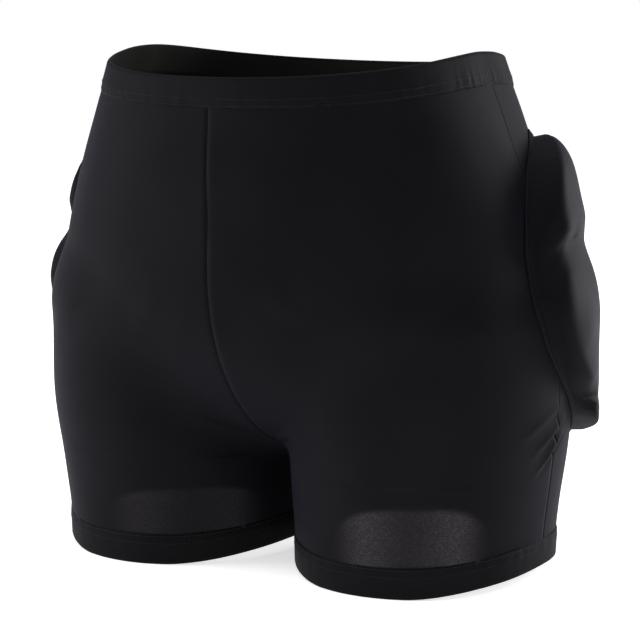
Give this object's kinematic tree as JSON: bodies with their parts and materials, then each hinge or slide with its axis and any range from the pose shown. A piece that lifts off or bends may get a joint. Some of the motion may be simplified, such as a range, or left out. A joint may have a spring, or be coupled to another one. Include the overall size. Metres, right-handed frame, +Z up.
{
  "type": "padded impact shorts",
  "caption": "Close-fitting stretch shorts with segmented foam impact pads under sewn covers at the hips, seat and tailbone, with an elastic waistband and leg hems.",
  "frame": {"origin": "bottom centre of the bounding box: the hems rest on z = 0 and the centre front and centre back lie on x = 0", "axes": "+Z up from the hems to the waistband, -Y the way the wearer faces, +X the wearer's left"},
  "size_m": [0.39, 0.2708, 0.328],
  "materials": {
    "shell_fabric": "fine matte stretch knit, charcoal black with a slight violet sheen",
    "band_fabric": "folded stretch knit, coverstitched",
    "pad_cover_fabric": "smooth stretch knit with a violet-blue sheen",
    "elastic": "woven flat elastic",
    "foam": "closed-cell foam, matte"
  },
  "bodies": {
    "root": {"front_panel_left": "shell_fabric", "back_panel_left": "shell_fabric", "leg_hem_left": "band_fabric", "leg_elastic_left": "elastic", "hip_pad_upper_left": "foam", "hip_pad_lower_left": "foam", "thigh_pad_left": "foam", "seat_pad_upper_left": "foam", "seat_pad_lower_left": "foam", "hip_pad_cover_left": "pad_cover_fabric", "seat_pad_cover_left": "pad_cover_fabric", "front_panel_right": "shell_fabric", "back_panel_right": "shell_fabric", "leg_hem_right": "band_fabric", "leg_elastic_right": "elastic", "hip_pad_upper_right": "foam", "hip_pad_lower_right": "foam", "thigh_pad_right": "foam", "seat_pad_upper_right": "foam", "seat_pad_lower_right": "foam", "hip_pad_cover_right": "pad_cover_fabric", "seat_pad_cover_right": "pad_cover_fabric", "waistband": "band_fabric", "waist_elastic": "elastic", "tailbone_pad": "foam", "tailbone_pad_cover": "pad_cover_fabric"}
  },
  "joints": []
}
